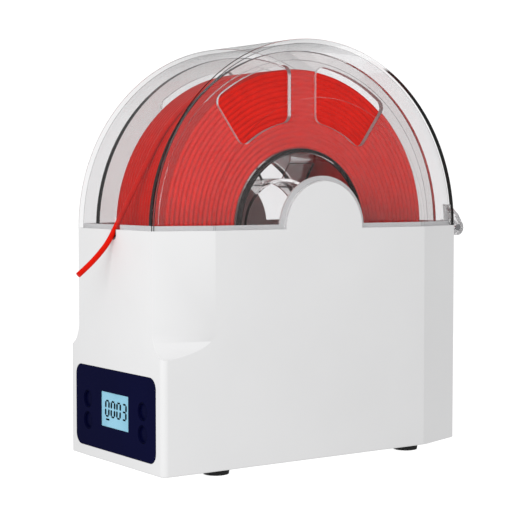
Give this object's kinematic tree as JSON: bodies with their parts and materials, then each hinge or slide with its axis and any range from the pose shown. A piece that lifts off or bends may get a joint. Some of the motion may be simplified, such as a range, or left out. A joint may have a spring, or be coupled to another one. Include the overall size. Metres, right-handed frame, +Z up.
{
  "type": "filament dryer box",
  "caption": "Heated storage box that dries and weighs a spool of printer filament on rollers under a hinged clear dome lid, with a display and push buttons.",
  "frame": {"origin": "middle of the part's outline at floor level, under the rubber feet", "axes": "+X across the box, +Y from the control panel to the lid hinge, +Z up"},
  "size_m": [0.1028, 0.245, 0.2381],
  "materials": {
    "white_shell": "fine satin moulded plastic",
    "clear_lid": "clear polished plastic",
    "clear_spool": "clear moulded plastic",
    "clear_window": "clear polished acrylic",
    "red_filament": "glossy extruded plastic",
    "navy_panel": "smooth semi-gloss",
    "navy_button": "smooth satin",
    "lcd_face": "lit liquid-crystal face",
    "black_rubber": "matt",
    "grey_rubber": "matt silicone",
    "steel": "plated",
    "aluminium": "milled",
    "amber_film": "polyimide film",
    "grey_plastic": "moulded",
    "black_plastic": "moulded",
    "circuit_board": "solder mask",
    "lead_sheath": "soft sheath"
  },
  "bodies": {
    "housing": {"base_housing": "white_shell", "bay_cover": "white_shell", "board_connector": "black_plastic", "bottom_cover": "white_shell", "control_panel": "navy_panel", "cover_screws": "steel", "dc_jack": "black_plastic", "dc_jack_nut": "black_plastic", "display_board": "circuit_board", "display_screws": "steel", "filament_guide": "grey_rubber", "filament_strand": "red_filament", "filament_tail": "red_filament", "heater_film_left": "amber_film", "heater_film_right": "amber_film", "heater_leads": "lead_sheath", "heater_plate_left": "aluminium", "heater_plate_right": "aluminium", "heater_screws": "steel", "hinge_pin_left": "steel", "hinge_pin_right": "steel", "humidity_sensor": "grey_plastic", "lcd_module": "lcd_face", "lcd_window": "clear_window", "load_cell": "aluminium", "load_cell_lead": "lead_sheath", "load_cell_screws": "steel", "main_board": "circuit_board", "main_board_screws": "steel", "panel_screws": "steel", "power_lead": "lead_sheath", "roller_bearings": "steel", "roller_cradle": "grey_plastic", "rubber_feet": "black_rubber", "sensor_lead": "lead_sheath", "tact_switches": "black_plastic"},
    "lid": {"lid_shell": "clear_lid"},
    "spool": {"spool_flange_left": "clear_spool", "spool_flange_right": "clear_spool", "spool_hub": "clear_spool", "filament_winding": "red_filament"},
    "roller_front": {"roller_shaft_front": "steel", "roller_front_left": "black_plastic", "roller_front_right": "black_plastic", "shaft_clips_front": "steel"},
    "roller_rear": {"roller_shaft_rear": "steel", "roller_rear_left": "black_plastic", "roller_rear_right": "black_plastic", "shaft_clips_rear": "steel"},
    "button_heat": {"button_heat": "navy_button"},
    "button_time": {"button_time": "navy_button"},
    "button_mode": {"button_mode": "navy_button"},
    "button_tare": {"button_tare": "navy_button"}
  },
  "joints": [
    {"name": "lid_hinge", "type": "hinge", "parent": "housing", "child": "lid", "pos_m": [0, 0.10625, 0.1305], "axis": [-1, 0, 0], "range_deg": [0, 100]},
    {"name": "spool_spin", "type": "hinge", "parent": "housing", "child": "spool", "pos_m": [0, -0.00495, 0.132], "axis": [1, 0, 0], "continuous": true},
    {"name": "roller_front_spin", "type": "hinge", "parent": "housing", "child": "roller_front", "pos_m": [0, -0.06635, 0.04431], "axis": [1, 0, 0], "continuous": true},
    {"name": "roller_rear_spin", "type": "hinge", "parent": "housing", "child": "roller_rear", "pos_m": [0, 0.05645, 0.04431], "axis": [1, 0, 0], "continuous": true},
    {"name": "button_heat_press", "type": "slide", "parent": "housing", "child": "button_heat", "axis": [0, 1, 0], "range_m": [0, 0.001], "stiffness_N_per_m": 800, "springref_m": -0.0005},
    {"name": "button_time_press", "type": "slide", "parent": "housing", "child": "button_time", "axis": [0, 1, 0], "range_m": [0, 0.001], "stiffness_N_per_m": 800, "springref_m": -0.0005},
    {"name": "button_mode_press", "type": "slide", "parent": "housing", "child": "button_mode", "axis": [0, 1, 0], "range_m": [0, 0.001], "stiffness_N_per_m": 800, "springref_m": -0.0005},
    {"name": "button_tare_press", "type": "slide", "parent": "housing", "child": "button_tare", "axis": [0, 1, 0], "range_m": [0, 0.001], "stiffness_N_per_m": 800, "springref_m": -0.0005}
  ],
  "couplings": [
    {"joint": "roller_front_spin", "follows": "spool_spin", "ratio": -14.286},
    {"joint": "roller_rear_spin", "follows": "spool_spin", "ratio": -14.286}
  ]
}
